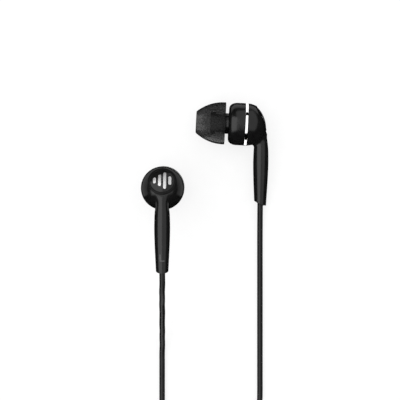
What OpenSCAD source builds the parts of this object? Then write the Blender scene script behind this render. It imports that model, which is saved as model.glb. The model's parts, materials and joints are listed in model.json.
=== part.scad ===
// Wired in-ear earphones, in millimetres, lying on a table as they are laid out: the left earpiece
// stands on the nose of its ear tip, the right one lies on its side, and the cords run along -Y to
// a stored coil. Each earpiece has its own frame: the origin is the centre of the ear tip's nose,
// +Z runs from the nose towards the outer cap, and the stem hangs along -Y.

/* [Ear tip] */
// Largest radius of the soft skirt
tip_r = 5.98; // [5.9:0.01:6.02]
// Radius of the flat nose
tip_nose_r = 3.05; // [2.9:0.05:3.2]
// Length from the nose to the end of the skirt
tip_length = 8.3; // [8.1:0.1:8.5]
// Thickness of the skirt
tip_wall = 0.55; // [0.45:0.05:0.65]
// Outer radius of the core tube that grips the nozzle
tip_core_r = 3.8; // [3.7:0.05:3.9]

/* [Nozzle] */
// Distance of the nozzle's open end from the nose
nozzle_front = 4.1; // [4.05:0.05:4.2]
// Radius of the lip that holds the ear tip on
lip_r = 3.08; // [3.05:0.01:3.09]
// Radius of the neck behind the lip
neck_r = 2.54; // [2.5:0.02:2.6]
// Radius of the collar in front of the housing
collar_r = 2.91; // [2.85:0.01:2.95]
// Radius of the sound channel
channel_r = 1.9; // [1.8:0.05:1.95]

/* [Housing] */
// Outer radius of the round housing
head_r = 6.0; // [5.98:0.01:6.02]
// Distance of the housing's front face from the nose
face_z = 9.26; // [9.2:0.02:9.4]
// Distance of the trim ring's front edge from the nose
ring_z = 13.85; // [13.8:0.05:13.9]
// Width of the trim ring
ring_w = 0.75; // [0.7:0.05:0.8]
// How far the trim ring stands proud of the housing
ring_proud = 0.03; // [0.01:0.01:0.04]
// Inner radius of the housing
chamber_r = 5.05; // [5.03:0.01:5.08]

/* [Outer cap] */
// Tilt of the cap away from the stem, in degrees
cap_tilt = 25.5; // [25:0.5:26]
// Distance of the cap's seat from the centre of the housing's ball
cap_reach = 4.5; // [4.45:0.05:4.55]
// Radius of the cap's dome
dome_r = 8.5; // [8.2:0.1:11]
// Radius of the inner disc
disc_r = 3.3; // [3.25:0.05:3.35]

/* [Stem] */
// Lean of the stem's axis away from the ear, in degrees
stem_lean = 2.45; // [2.3:0.05:2.6]
// Radius of the channel inside the stem
stem_bore_r = 1.25; // [1.15:0.05:1.3]
// Slant of the cut at the stem's end, in degrees
end_slant = 22; // [18:1:25]

/* [Cords] */
// Diameter of the cord from each earpiece
cord_d = 1.6; // [1.5:0.1:1.6]
// Diameter of the cord from the splitter to the plug
main_d = 2.0; // [1.9:0.1:2.0]

/* [Plug] */
// Diameter of the plug's pin
pin_d = 3.5; // [3.48:0.01:3.52]
// Diameter of the plug's grip
grip_d = 6.6; // [6.4:0.1:7]
// Length of the plug's grip
grip_length = 15; // [14:1:16]

/* [Hidden] */
SIDES = ["left", "right"];
PIECES = [
    "ear_tip", "nozzle_screen", "front_shell", "trim_ring", "rear_shell", "cap_bezel", "cap_disc",
    "driver_cover", "diaphragm", "surround", "voice_coil", "top_plate", "magnet", "yoke",
    "driver_frame", "damping_felt", "terminal_board", "lead_wires", "cord_end", "cord_crimp",
    "cord_grommet"
];
COMMON = [
    "left_cord", "right_cord", "cord_coil", "coil_tie", "left_splitter_lead",
    "right_splitter_lead", "splitter_body", "splitter_core", "main_cord", "plug_cord",
    "plug_tip", "plug_insulators", "plug_ring", "plug_sleeve", "plug_core", "plug_grip",
    "plug_relief"
];

$fn = 96;
hole_fn = 24;

// Layout of the two earpieces on the table
left_nose = [-11.93, 0.09];
left_lean = 2.5;
right_nose = [-2.71, 18.31];
right_turn = -2.8;
right_roll = 10.9;

// Ear tip
dome_power = 2.3;
dome_steps = 16;
tip_channel_r = 2.0;
tip_edge = 0.15;
fold_z = 2.0;
fold_step = 5;
core_back = 8.0;
lip_clearance = 0.04;
end_gap = 0.1;

// Nozzle
lip_length = 1.48;
neck_end = 7.8;
lip_chamfer = 0.25;
screen_r = 2.35;
screen_seat = 4.5;
screen_thick = 0.3;
mesh_hole_r = 0.2;
mesh_pitch = 0.62;

// Housing
ball_z = 14.2;
corner_in_r = 4.45;
corner_end_z = 11.6;
corner_steps = 8;
seat_z = 10.9;
seat_r = 4.5;
funnel_z = 9.9;
funnel_length = 0.8;
funnel_flare = 0.6;
spigot_r = 5.45;
spigot_end = 15.2;
ring_back = ring_z + ring_w;
cap_rim_r = sqrt(head_r * head_r - cap_reach * cap_reach);
bezel_wall_r = 3.42;
bezel_ledge_r = 3.0;
bezel_depth = 0.9;
disc_thick = 0.25;
disc_gap = 0.03;
bezel_lift = 0.06;
dome_drop = sqrt(dome_r * dome_r - cap_rim_r * cap_rim_r);

// Stem: radius at each distance below the housing's axis
stem_profile = [
    [1.0, 1.40], [1.8, 1.52], [3.4, 1.66], [5.2, 1.90], [7.0, 2.08], [9.0, 2.15], [10.8, 2.18],
    [13.0, 2.14], [14.6, 2.09], [16.2, 2.03], [17.8, 1.95], [19.4, 1.87], [21.0, 1.79],
    [22.4, 1.72], [25.0, 1.60]
];
stem_top_z = 18.57;
stem_end_drop = 22.5;
bore_stop = 19.2;
grommet_top = 19.9;
sheath_start = 16;
crimp_start = 17.2;
crimp_gap = 0.1;

// Driver, 10 mm across
cover_thick = 0.25;
cover_hole_r = 0.6;
cover_ring_r = 2.6;
cover_ring_hole_r = 0.5;
driver_r = 5.0;
frame_wall_r = 4.6;
frame_back = 13.3;
back_plate = 0.4;
yoke_r = 2.9;
yoke_in_r = 2.35;
yoke_front = 12.3;
yoke_back = 13.9;
yoke_floor = 0.5;
pole_r = 1.85;
magnet_r = 1.75;
pole_thick = 0.4;
coil_r = [1.98, 2.2];
coil_ends = [12.07, 13.1];
diaphragm_r = 3.2;
membrane = 0.12;
membrane_gap = 0.06;
surround_z = 11.8;
dome_base_z = 11.95;
dome_top_z = 11.45;
vent_ring_r = 3.8;
vent_r = 0.35;
vents = 6;
felt_r = [3.0, 4.5];
felt_thick = 0.12;
board = [3.0, 1.6, 0.35];
board_y = -3.95;
board_gap = 0.4;
wire_r = 0.2;

// Cord storage
coil_at = [2.7, -84];
coil_in_r = 5.2;
coil_out_r = 17.6;
coil_bottom = 0.4;
coil_top = 7.6;
coil_round = 1.2;
tie_angle = 225;
tie_w = 4;
tie_thick = 0.4;
tie_gap = 0.1;
tube_sides = 8;

// Splitter, beside the coil
splitter_angle = -20;
splitter_r = 21.2;
splitter_size = [5.8, 14, 4.2];
splitter_nose = 3.6;
splitter_taper = 5;
splitter_block = [4.4, 6, 2.4];
splitter_at = [
    coil_at[0] + splitter_r * cos(splitter_angle),
    coil_at[1] + splitter_r * sin(splitter_angle),
    splitter_size[2] / 2
];

// Plug, beside the coil and along +X
relief_start = [-4.6, -108];
relief_length = 9;
relief_r = [1.45, 1.9];
plug_z = grip_d / 2;
grip_x = relief_start[0] + relief_length;
pin_x = grip_x + grip_length;
pin_length = 14;
sleeve_end = 8.1;
ring_span = [8.8, 10.4];
tip_start = 11.1;
pin_core_r = 0.9;
core_grip = 0.8;
core_end = tip_start + core_grip;
core_depth = 6;
shank_r = 1.45;
shank_length = 4;

// Routes of the cords, from where they leave a piece to where they enter the next one
left_route = [
    [-11.93, -23.2, 18.67], [-11.9, -25, 18.7], [-11.9, -27, 18.4], [-12, -29, 17.6],
    [-12, -31, 16.2], [-12.1, -33, 14.3], [-12.1, -35, 12], [-12.2, -37, 9.6],
    [-12.3, -39, 7.2], [-12.3, -41, 5.1], [-12.4, -43, 3.3], [-12.4, -45.5, 1.8],
    [-12.5, -48, 1], [-12.5, -51, 0.8], [-12.5, -55, 0.8], [-12.5, -60, 0.8],
    [-12.5, -66, 0.8], [-12.5, -72, 1], [-12.5, -78, 1.2], [-12.5, -81, 1.2]
];
right_route = [
    [15.72, -4.68, 1.78], [15.7, -7, 1.7], [15.7, -9, 1.4], [15.7, -12, 1],
    [15.7, -15, 0.8], [15.7, -20, 0.8], [15.7, -25, 0.8], [15.7, -30, 0.8],
    [15.7, -35, 0.8], [15.7, -40, 0.8], [15.7, -45, 0.8], [15.7, -50, 0.8],
    [15.7, -55, 0.8], [15.7, -59, 0.8], [15.6, -61.8, 0.8], [15, -64.1, 0.8],
    [13.7, -66.4, 0.8], [11.8, -68.1, 1], [9.6, -69.1, 1.2], [7.4, -69.5, 1.2]
];
left_lead_route = [
    [-5.6, -97.3, 2.8], [-2.1, -99.2, 2.8], [1.7, -100.8, 2.7], [5.7, -102, 2.6],
    [9.7, -102.7, 2.5], [13.5, -102.8, 2.3], [16.8, -102.1, 2.2], [19.4, -100.6, 2.1],
    [21, -98.1, 2.1]
];
right_lead_route = [
    [-4.8, -96, 2.8], [-1.4, -97.7, 2.8], [2.3, -99.2, 2.7], [5.9, -100.4, 2.6],
    [9.5, -101.1, 2.5], [12.7, -101.3, 2.3], [15.4, -100.7, 2.2], [17.7, -99.6, 2.1],
    [19.4, -97.5, 2.1]
];
main_route = [
    [25, -84.7, 2.1], [25.5, -81.3, 2.2], [24.7, -78.1, 2.5], [22.6, -75.3, 2.9],
    [19.7, -72.9, 3.3], [16, -70.8, 3.8], [11.9, -69.3, 4.2], [7.6, -68.3, 4.5],
    [3.3, -67.8, 4.6]
];
plug_route = [
    [-14, -84.6, 6.6], [-14.5, -88, 6.4], [-15.2, -91.5, 6], [-15.5, -95, 5.4],
    [-15, -98.5, 4.8], [-13.7, -101.8, 4.2], [-11.6, -104.7, 3.7], [-8.6, -107.1, 3.4],
    [-4.6, -108, 3.3]
];

function unit(v) = v / norm(v);
function heading(path, i) = unit(path[min(i + 1, len(path) - 1)] - path[max(i - 1, 0)]);
function hoop(path, i, r) =
    let (ahead = heading(path, i), side = unit(cross(ahead, [0, 0, 1])), up = cross(side, ahead))
    [for (k = [0:tube_sides - 1])
        path[i] + r * (cos(360 * k / tube_sides) * side + sin(360 * k / tube_sides) * up)];

// A cord's tube along a route
module tube(path, r) {
    n = tube_sides;
    last = len(path) - 1;
    polyhedron(
        points = [for (i = [0:last]) each hoop(path, i, r)],
        faces = [
            [for (k = [n - 1:-1:0]) k],
            [for (k = [0:n - 1]) last * n + k],
            for (i = [0:last - 1], k = [0:n - 1])
                let (a = i * n + k, b = i * n + (k + 1) % n)
                each [[a, b, b + n], [a, b + n, a + n]]
        ]
    );
}

// A ring of rectangular section
module band(inner, outer, from, to) {
    translate([0, 0, from])
        difference() {
            cylinder(r = outer, h = to - from);
            translate([0, 0, -1]) cylinder(r = inner, h = to - from + 2);
        }
}

// Where each earpiece lies
module at(side) {
    if (side == "left")
        translate([left_nose[0], left_nose[1], tip_nose_r * sin(left_lean)])
            rotate([left_lean, 0, 0]) children();
    else
        translate([right_nose[0], right_nose[1], head_r + ring_proud])
            rotate([0, 0, right_turn]) rotate([right_roll, 0, 0]) rotate([0, 90, 0]) children();
}

// Frame of the outer cap, with +Z out of the cap and the origin on its seat
module on_cap() {
    translate([0, 0, ball_z]) rotate([-cap_tilt, 0, 0]) translate([0, 0, cap_reach]) children();
}

// Frame of the stem, with +Z down the stem from the height of the housing's axis
module on_stem() {
    translate([0, 0, stem_top_z]) rotate([90 - stem_lean, 0, 0]) children();
}

// Ear tip: a domed skirt folded into a core tube
function tip_radius(z) =
    tip_nose_r + (tip_r - tip_nose_r) * (1 - pow(1 - z / tip_length, dome_power));

module ear_tip() {
    bore_r = lip_r + lip_clearance;
    color([0.16, 0.16, 0.17])
        rotate_extrude()
            polygon([
                [tip_channel_r, tip_edge], [tip_channel_r + tip_edge, 0],
                for (i = [0:dome_steps])
                    let (z = tip_length * i / dome_steps) [tip_radius(z), z],
                for (i = [dome_steps:-1:fold_step])
                    let (z = tip_length * i / dome_steps) [tip_radius(z) - tip_wall, z],
                [tip_core_r, fold_z], [tip_core_r, core_back], [bore_r, core_back],
                [bore_r, nozzle_front - end_gap], [tip_channel_r, nozzle_front - end_gap]
            ]);
}

// Perforated screen in the nozzle's mouth, in a hexagonal pattern of holes
module nozzle_screen() {
    rings = 2;
    color("silver")
        difference() {
            translate([0, 0, screen_seat - screen_thick])
                cylinder(r = screen_r, h = screen_thick);
            for (i = [-rings:rings], j = [-rings:rings])
                if (abs(i + j) <= rings)
                    translate([(i + j / 2) * mesh_pitch, j * mesh_pitch * sin(60), 0])
                        cylinder(r = mesh_hole_r, h = face_z, $fn = hole_fn);
        }
}

// Front shell: the nozzle and the front half of the housing
module front_shell() {
    color([0.09, 0.09, 0.1])
        rotate_extrude()
            polygon([
                [screen_r, nozzle_front], [lip_r - lip_chamfer, nozzle_front],
                [lip_r, nozzle_front + lip_chamfer], [lip_r, nozzle_front + lip_length],
                [neck_r, nozzle_front + lip_length], [neck_r, neck_end],
                [collar_r, neck_end], [collar_r, face_z],
                for (i = [0:corner_steps])
                    let (turn = 90 * i / corner_steps)
                    [corner_in_r + (head_r - corner_in_r) * sin(turn),
                     corner_end_z - (corner_end_z - face_z) * cos(turn)],
                [head_r, ring_z], [spigot_r, ring_z], [spigot_r, spigot_end],
                [chamber_r, spigot_end], [chamber_r, seat_z], [seat_r, seat_z],
                [channel_r + funnel_flare, funnel_z], [channel_r, funnel_z - funnel_length],
                [channel_r, screen_seat], [screen_r, screen_seat]
            ]);
}

// Chrome trim ring between the two shells
module trim_ring() {
    color("gainsboro") band(spigot_r, head_r + ring_proud, ring_z, ring_back);
}

// Rear shell: the ball behind the ring, the cap's seat and the stem
module rear_shell() {
    big = 3 * head_r;
    color([0.09, 0.09, 0.1])
        difference() {
            union() {
                intersection() {
                    translate([0, 0, ball_z]) sphere(r = head_r);
                    translate([0, 0, ring_back + big / 2]) cube([big, big, big], center = true);
                }
                on_stem()
                    rotate_extrude()
                        polygon([
                            [0, stem_profile[0][0]],
                            for (p = stem_profile) [p[1], p[0]],
                            [0, stem_profile[len(stem_profile) - 1][0]]
                        ]);
            }
            on_cap() translate([0, 0, big / 2]) cube([big, big, big], center = true);
            on_cap() translate([0, 0, -bezel_depth - 1]) cylinder(r = bezel_wall_r, h = big);
            intersection() {
                translate([0, 0, ball_z]) sphere(r = chamber_r);
                on_cap() translate([0, 0, -bezel_depth - big / 2])
                    cube([big, big, big], center = true);
            }
            translate([0, 0, ring_back - 1]) cylinder(r = spigot_r, h = spigot_end - ring_back + 1);
            on_stem() cylinder(r = stem_bore_r, h = bore_stop);
            on_stem() cylinder(r = cord_d / 2, h = stem_end_drop + 4);
            on_stem() translate([0, 0, grommet_top]) cylinder(r = stem_bore_r, h = 6);
            stem_cut();
        }
}

// Everything past the slanted end of the stem
module stem_cut() {
    big = 3 * head_r;
    on_stem() translate([0, 0, stem_end_drop]) rotate([end_slant, 0, 0])
        translate([0, 0, big / 2]) cube([big, big, big], center = true);
}

// Bezel around the cap's disc, with the collar that locates it
function dome_height(r) = sqrt(dome_r * dome_r - r * r) - dome_drop;

module cap_bezel() {
    edge = disc_r + disc_gap;
    rim = cap_rim_r - bezel_lift;
    steps = 6;
    color([0.05, 0.05, 0.05])
        on_cap()
            rotate_extrude()
                polygon([
                    [bezel_ledge_r, -bezel_depth], [bezel_wall_r, -bezel_depth],
                    [bezel_wall_r, 0], [cap_rim_r, 0],
                    for (i = [0:steps])
                        let (r = rim - (rim - edge) * i / steps) [r, dome_height(r) + bezel_lift],
                    [edge, -disc_thick], [bezel_ledge_r, -disc_thick]
                ]);
}

// Glossy domed disc in the bezel
module cap_disc() {
    steps = 10;
    color([0.07, 0.07, 0.07])
        on_cap()
            rotate_extrude()
                polygon([
                    [0, -disc_thick], [disc_r, -disc_thick],
                    for (i = [0:steps])
                        let (r = disc_r * (1 - i / steps)) [r, dome_height(r)]
                ]);
}

// Perforated cover in front of the driver
module driver_cover() {
    holes = 8;
    color("silver")
        difference() {
            translate([0, 0, seat_z]) cylinder(r = driver_r, h = cover_thick);
            cylinder(r = cover_hole_r, h = ball_z, $fn = hole_fn);
            for (i = [0:holes - 1])
                rotate([0, 0, 360 * i / holes])
                    translate([cover_ring_r, 0, 0])
                        cylinder(r = cover_ring_hole_r, h = ball_z, $fn = hole_fn);
        }
}

// Moving membrane: a dome and the cone around it
module diaphragm() {
    rise = dome_base_z - dome_top_z;
    cup_r = (coil_r[1] * coil_r[1] + rise * rise) / (2 * rise);
    steps = 8;
    front = [for (i = [0:steps])
        let (r = coil_r[1] * i / steps)
        [r, dome_top_z + cup_r - sqrt(cup_r * cup_r - r * r)]];
    color("lightsteelblue")
        rotate_extrude()
            polygon([
                for (p = front) p,
                [diaphragm_r, surround_z], [diaphragm_r, surround_z + membrane],
                [coil_r[1], coil_ends[0]], [coil_r[0], coil_ends[0]],
                for (i = [steps - 1:-1:0]) [front[i][0], front[i][1] + membrane]
            ]);
}

// Flexible surround, held by the frame
module surround() {
    color("slategray")
        band(diaphragm_r + membrane_gap, frame_wall_r, surround_z, surround_z + membrane);
}

module voice_coil() {
    color([0.72, 0.45, 0.2]) band(coil_r[0], coil_r[1], coil_ends[0], coil_ends[1]);
}

module top_plate() {
    color("silver") translate([0, 0, yoke_front]) cylinder(r = pole_r, h = pole_thick);
}

module magnet() {
    from = yoke_front + pole_thick;
    color("dimgray")
        translate([0, 0, from]) cylinder(r = magnet_r, h = yoke_back - yoke_floor - from);
}

// Steel cup around the magnet
module yoke() {
    color("silver")
        difference() {
            translate([0, 0, yoke_front]) cylinder(r = yoke_r, h = yoke_back - yoke_front);
            translate([0, 0, yoke_front - 1])
                cylinder(r = yoke_in_r, h = yoke_back - yoke_floor - yoke_front + 1);
        }
}

// Basket of the driver, with its ring of vents
module driver_frame() {
    from = seat_z + cover_thick;
    color("gray")
        difference() {
            translate([0, 0, from]) cylinder(r = driver_r, h = frame_back - from);
            translate([0, 0, from - 1])
                cylinder(r = frame_wall_r, h = frame_back - back_plate - from + 1);
            cylinder(r = yoke_r, h = ball_z);
            for (i = [0:vents - 1])
                rotate([0, 0, 360 * i / vents])
                    translate([vent_ring_r, 0, 0]) cylinder(r = vent_r, h = ball_z, $fn = hole_fn);
        }
}

module terminal_board() {
    color("seagreen")
        translate([0, board_y, frame_back + board[2] / 2]) cube(board, center = true);
}

// Felt ring over the vents, cut away for the terminal board
module damping_felt() {
    color("white")
        difference() {
            band(felt_r[0], felt_r[1], frame_back, frame_back + felt_thick);
            translate([0, board_y, frame_back])
                cube([board[0] + board_gap, 2 * board[1], 1], center = true);
        }
}

// Two insulated wires from the cord's end to the terminal board
module lead_wires() {
    solder_z = frame_back + board[2] + wire_r;
    color("firebrick")
        for (x = [-0.5, 0.5])
            tube([
                [x, -15.8, 19.25], [x, -13, 19.12], [x, -10, 19], [x, -7, 18.87],
                [x, -4.8, 18.7], [x, -3.4, 18.1], [1.2 * x, -2.9, 17], [1.4 * x, -3.1, 15.6],
                [1.6 * x, -3.7, 14.5], [1.8 * x, -3.9, solder_z]
            ], wire_r);
}

// End of the cord's sheath, inside the stem
module cord_end() {
    color([0.05, 0.05, 0.05])
        difference() {
            on_stem() translate([0, 0, sheath_start]) cylinder(r = cord_d / 2, h = 9);
            stem_cut();
        }
}

// Crimped sleeve that stops the cord from pulling out
module cord_crimp() {
    color("goldenrod") on_stem() band(cord_d / 2, stem_bore_r - crimp_gap, crimp_start, bore_stop);
}

// Soft grommet in the mouth of the stem
module cord_grommet() {
    color([0.05, 0.05, 0.05])
        difference() {
            on_stem() band(cord_d / 2, stem_bore_r, grommet_top, stem_end_drop + 3);
            stem_cut();
        }
}

module left_cord() {
    color([0.06, 0.06, 0.06]) tube(left_route, cord_d / 2);
}

module right_cord() {
    color([0.06, 0.06, 0.06]) tube(right_route, cord_d / 2);
}

// Outer shape of the stored coil
module cord_coil() {
    color([0.06, 0.06, 0.06])
        translate([coil_at[0], coil_at[1], 0])
            rotate_extrude()
                polygon([
                    [coil_in_r, coil_bottom + coil_round], [coil_in_r + coil_round, coil_bottom],
                    [coil_out_r - coil_round, coil_bottom], [coil_out_r, coil_bottom + coil_round],
                    [coil_out_r, coil_top - coil_round], [coil_out_r - coil_round, coil_top],
                    [coil_in_r + coil_round, coil_top], [coil_in_r, coil_top - coil_round]
                ]);
}

// Strap around the coil
module coil_tie() {
    inside = sqrt(coil_in_r * coil_in_r - tie_w * tie_w / 4) - tie_gap;
    outside = coil_out_r + tie_gap;
    hole = [outside - inside, 2 * tie_w, coil_top - coil_bottom];
    strap = [hole[0] + 2 * tie_thick, tie_w, hole[2] + 2 * tie_thick];
    color([0.12, 0.12, 0.12])
        translate([coil_at[0], coil_at[1], strap[2] / 2])
            rotate([0, 0, tie_angle])
                translate([(outside + inside) / 2, 0, 0])
                    difference() {
                        cube(strap, center = true);
                        cube(hole, center = true);
                    }
}

module left_splitter_lead() {
    color([0.06, 0.06, 0.06]) tube(left_lead_route, cord_d / 2);
}

module right_splitter_lead() {
    color([0.06, 0.06, 0.06]) tube(right_lead_route, cord_d / 2);
}

// Frame of the splitter, with +Y from the two leads towards the main cord
module on_splitter() {
    translate(splitter_at) rotate([0, 0, splitter_angle]) children();
}

// Moulded splitter, narrowing towards the main cord
module splitter_body() {
    half = splitter_size[1] / 2;
    color([0.08, 0.08, 0.08])
        on_splitter()
            difference() {
                translate([0, 0, -splitter_size[2] / 2])
                    linear_extrude(splitter_size[2])
                        polygon([
                            [-splitter_size[0] / 2, -half], [splitter_size[0] / 2, -half],
                            [splitter_size[0] / 2, half - splitter_taper],
                            [splitter_nose / 2, half], [-splitter_nose / 2, half],
                            [-splitter_size[0] / 2, half - splitter_taper]
                        ]);
                cube(splitter_block, center = true);
            }
}

// Rigid inner block that joins the three cord ends
module splitter_core() {
    color("ivory") on_splitter() cube(splitter_block, center = true);
}

module main_cord() {
    color([0.06, 0.06, 0.06]) tube(main_route, main_d / 2);
}

module plug_cord() {
    color([0.06, 0.06, 0.06]) tube(plug_route, main_d / 2);
}

// Frame of the plug, with +Z along the pin and the origin where the pin leaves the grip
module on_plug() {
    translate([pin_x, relief_start[1], plug_z]) rotate([0, 90, 0]) children();
}

// Rounded contact at the end of the pin, with its detent groove
module plug_tip() {
    color("gold")
        on_plug()
            difference() {
                rotate_extrude()
                    polygon([
                        [0, tip_start], [pin_d / 2, tip_start], [pin_d / 2, tip_start + 0.5],
                        [1.3, tip_start + 1.2], [1.62, tip_start + 1.9],
                        [1.3, pin_length - 0.4], [0.7, pin_length], [0, pin_length]
                    ]);
                cylinder(r = pin_core_r, h = core_end);
            }
}

module plug_insulators() {
    color([0.1, 0.1, 0.1])
        on_plug() {
            band(pin_core_r, pin_d / 2, sleeve_end, ring_span[0]);
            band(pin_core_r, pin_d / 2, ring_span[1], tip_start);
        }
}

module plug_ring() {
    color("gold") on_plug() band(pin_core_r, pin_d / 2, ring_span[0], ring_span[1]);
}

module plug_sleeve() {
    color("gold")
        on_plug() {
            band(pin_core_r, pin_d / 2, 0, sleeve_end);
            band(pin_core_r, shank_r, -shank_length, 0);
        }
}

// Rod that carries the contacts
module plug_core() {
    color("goldenrod")
        on_plug()
            translate([0, 0, -core_depth]) cylinder(r = pin_core_r, h = core_depth + core_end);
}

// Moulded grip, with a chamfer at both ends
module plug_grip() {
    r = grip_d / 2;
    color([0.08, 0.08, 0.08])
        on_plug()
            difference() {
                rotate_extrude()
                    polygon([
                        [0, -grip_length], [r - 1, -grip_length], [r - 0.25, -grip_length + 1.5],
                        [r, -grip_length + 4], [r, -2.5], [r - 0.3, -0.8], [r - 0.9, 0], [0, 0]
                    ]);
                translate([0, 0, -shank_length]) cylinder(r = shank_r, h = shank_length + 1);
                translate([0, 0, -core_depth]) cylinder(r = pin_core_r, h = core_depth);
            }
}

// Tapered sleeve where the cord enters the grip
module plug_relief() {
    color([0.08, 0.08, 0.08])
        on_plug()
            translate([0, 0, -grip_length - relief_length])
                cylinder(r1 = relief_r[0], r2 = relief_r[1], h = relief_length);
}

for (side = SIDES) {
    at(side) ear_tip();
    at(side) nozzle_screen();
    at(side) front_shell();
    at(side) trim_ring();
    at(side) rear_shell();
    at(side) cap_bezel();
    at(side) cap_disc();
    at(side) driver_cover();
    at(side) diaphragm();
    at(side) surround();
    at(side) voice_coil();
    at(side) top_plate();
    at(side) magnet();
    at(side) yoke();
    at(side) driver_frame();
    at(side) damping_felt();
    at(side) terminal_board();
    at(side) lead_wires();
    at(side) cord_end();
    at(side) cord_crimp();
    at(side) cord_grommet();
}
left_cord();
right_cord();
cord_coil();
coil_tie();
left_splitter_lead();
right_splitter_lead();
splitter_body();
splitter_core();
main_cord();
plug_cord();
plug_tip();
plug_insulators();
plug_ring();
plug_sleeve();
plug_core();
plug_grip();
plug_relief();
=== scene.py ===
"""Wired in-ear earphones laid out on a white table: the looks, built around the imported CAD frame.

Shapes are worked out in millimetres, mostly in an earpiece's own frame: the origin is the centre of
the ear tip's nose, +Z runs from the nose to the outer cap, and the stem hangs along -Y.
"""

import json
import math

import bmesh
import bpy
import numpy as np
from mathutils import Matrix, Vector


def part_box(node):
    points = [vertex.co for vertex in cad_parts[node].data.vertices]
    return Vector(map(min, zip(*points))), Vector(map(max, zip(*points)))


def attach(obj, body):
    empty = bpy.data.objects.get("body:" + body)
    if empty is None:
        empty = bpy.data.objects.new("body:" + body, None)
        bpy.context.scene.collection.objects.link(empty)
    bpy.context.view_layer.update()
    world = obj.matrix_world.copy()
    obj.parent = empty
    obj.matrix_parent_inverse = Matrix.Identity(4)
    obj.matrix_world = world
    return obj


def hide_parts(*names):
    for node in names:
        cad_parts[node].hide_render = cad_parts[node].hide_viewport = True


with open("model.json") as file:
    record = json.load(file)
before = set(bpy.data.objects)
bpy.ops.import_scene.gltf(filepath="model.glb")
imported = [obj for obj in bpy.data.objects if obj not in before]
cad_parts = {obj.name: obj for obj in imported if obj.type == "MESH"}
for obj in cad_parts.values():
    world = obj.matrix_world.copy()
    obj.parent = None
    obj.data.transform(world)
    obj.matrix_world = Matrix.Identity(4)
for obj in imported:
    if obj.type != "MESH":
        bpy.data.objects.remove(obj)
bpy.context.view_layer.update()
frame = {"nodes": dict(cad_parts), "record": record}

MM = 0.001
SIDES = ("left", "right")
NODES = frame["nodes"]
MOUNTS = {mount["name"]: mount for mount in frame["record"]["mounts"]}

# Ear tip
TIP_R = 5.98
TIP_NOSE_R = 3.05
TIP_LENGTH = 8.3
TIP_POWER = 2.3
TIP_WALL = 0.55
TIP_CORE_R = 3.8
TIP_CORE_END = 8.0
TIP_BORE_R = 3.12
TIP_CHANNEL_R = 2.0
TIP_FOLD_Z = 1.9

# Nozzle
NOZZLE_FRONT = 4.1
LIP_R = 3.08
LIP_END = 5.58
NECK_R = 2.54
NECK_END = 7.8
COLLAR_R = 2.91
CHANNEL_R = 1.9
SCREEN_R = 2.35
SCREEN_SEAT = 4.5
FUNNEL_Z = 9.9
FUNNEL_LENGTH = 0.8
FUNNEL_FLARE = 0.6

# Housing
HEAD_R = 6.0
FACE_Z = 9.26
CORNER_IN_R = 4.45
CORNER_END_Z = 11.6
RING_Z = 13.85
RING_BACK = 14.6
RING_R = 6.03
SPIGOT_R = 5.45
SPIGOT_END = 15.2
CHAMBER_R = 5.05
DRIVER_SEAT_Z = 10.9
DRIVER_SEAT_R = 4.5
BALL_Z = 14.2

# Outer cap
CAP_TILT = math.radians(25.5)
CAP_REACH = 4.5
CAP_RIM_R = math.sqrt(HEAD_R**2 - CAP_REACH**2)
DOME_R = 8.5
DISC_R = 3.3
DISC_THICK = 0.25
BEZEL_WALL_R = 3.42
BEZEL_LEDGE_R = 3.0
BEZEL_DEPTH = 0.9
BEZEL_GAP = 0.03
BEAD_RISE = 0.1
PRINT_LIFT = 0.015
PRINT_SINK = 0.03

# Stem: radius at each distance below the housing's axis
STEM_LEAN = math.radians(2.45)
STEM_TOP_Z = 18.57
STEM_PROFILE = (
    (1.0, 1.40), (1.8, 1.52), (3.4, 1.66), (5.2, 1.90), (7.0, 2.08), (9.0, 2.15), (10.8, 2.18),
    (13.0, 2.14), (14.6, 2.09), (16.2, 2.03), (17.8, 1.95), (19.4, 1.87), (21.0, 1.79),
    (22.4, 1.72), (25.0, 1.60),
)
STEM_END = 22.5
STEM_SLANT = math.radians(22)
STEM_BORE_R = 1.25
BORE_STOP = 19.2
GROMMET_TOP = 19.9
GROMMET_R = 1.22
GROMMET_FACE_R = 0.98
GROMMET_PROUD = 0.3
SHEATH_START = 16.0
STEM_BLEND = 1.3

# Cords, in millimetres
CORD_D = 1.6
MAIN_D = 2.0
COIL_AT = (2.7, -84.0)
LEFT_ROUTE = (
    (-11.93, -23.2, 18.67), (-11.9, -25, 18.7), (-11.9, -27, 18.4), (-12, -29, 17.6),
    (-12, -31, 16.2), (-12.1, -33, 14.3), (-12.1, -35, 12), (-12.2, -37, 9.6),
    (-12.3, -39, 7.2), (-12.3, -41, 5.1), (-12.4, -43, 3.3), (-12.4, -45.5, 1.8),
    (-12.5, -48, 1), (-12.5, -51, 0.8), (-12.5, -55, 0.8), (-12.5, -60, 0.8),
    (-12.5, -66, 0.8), (-12.5, -72, 1), (-12.5, -78, 1.2), (-12.5, -81, 1.2),
)
RIGHT_ROUTE = (
    (15.72, -4.68, 1.78), (15.7, -7, 1.7), (15.7, -9, 1.4), (15.7, -12, 1),
    (15.7, -15, 0.8), (15.7, -20, 0.8), (15.7, -25, 0.8), (15.7, -30, 0.8),
    (15.7, -35, 0.8), (15.7, -40, 0.8), (15.7, -45, 0.8), (15.7, -50, 0.8),
    (15.7, -55, 0.8), (15.7, -59, 0.8), (15.6, -61.8, 0.8), (15, -64.1, 0.8),
    (13.7, -66.4, 0.8), (11.8, -68.1, 1), (9.6, -69.1, 1.2), (7.4, -69.5, 1.2),
)
LEFT_LEAD_ROUTE = (
    (-5.6, -97.3, 2.8), (-2.1, -99.2, 2.8), (1.7, -100.8, 2.7), (5.7, -102, 2.6),
    (9.7, -102.7, 2.5), (13.5, -102.8, 2.3), (16.8, -102.1, 2.2), (19.4, -100.6, 2.1),
    (21, -98.1, 2.1),
)
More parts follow.
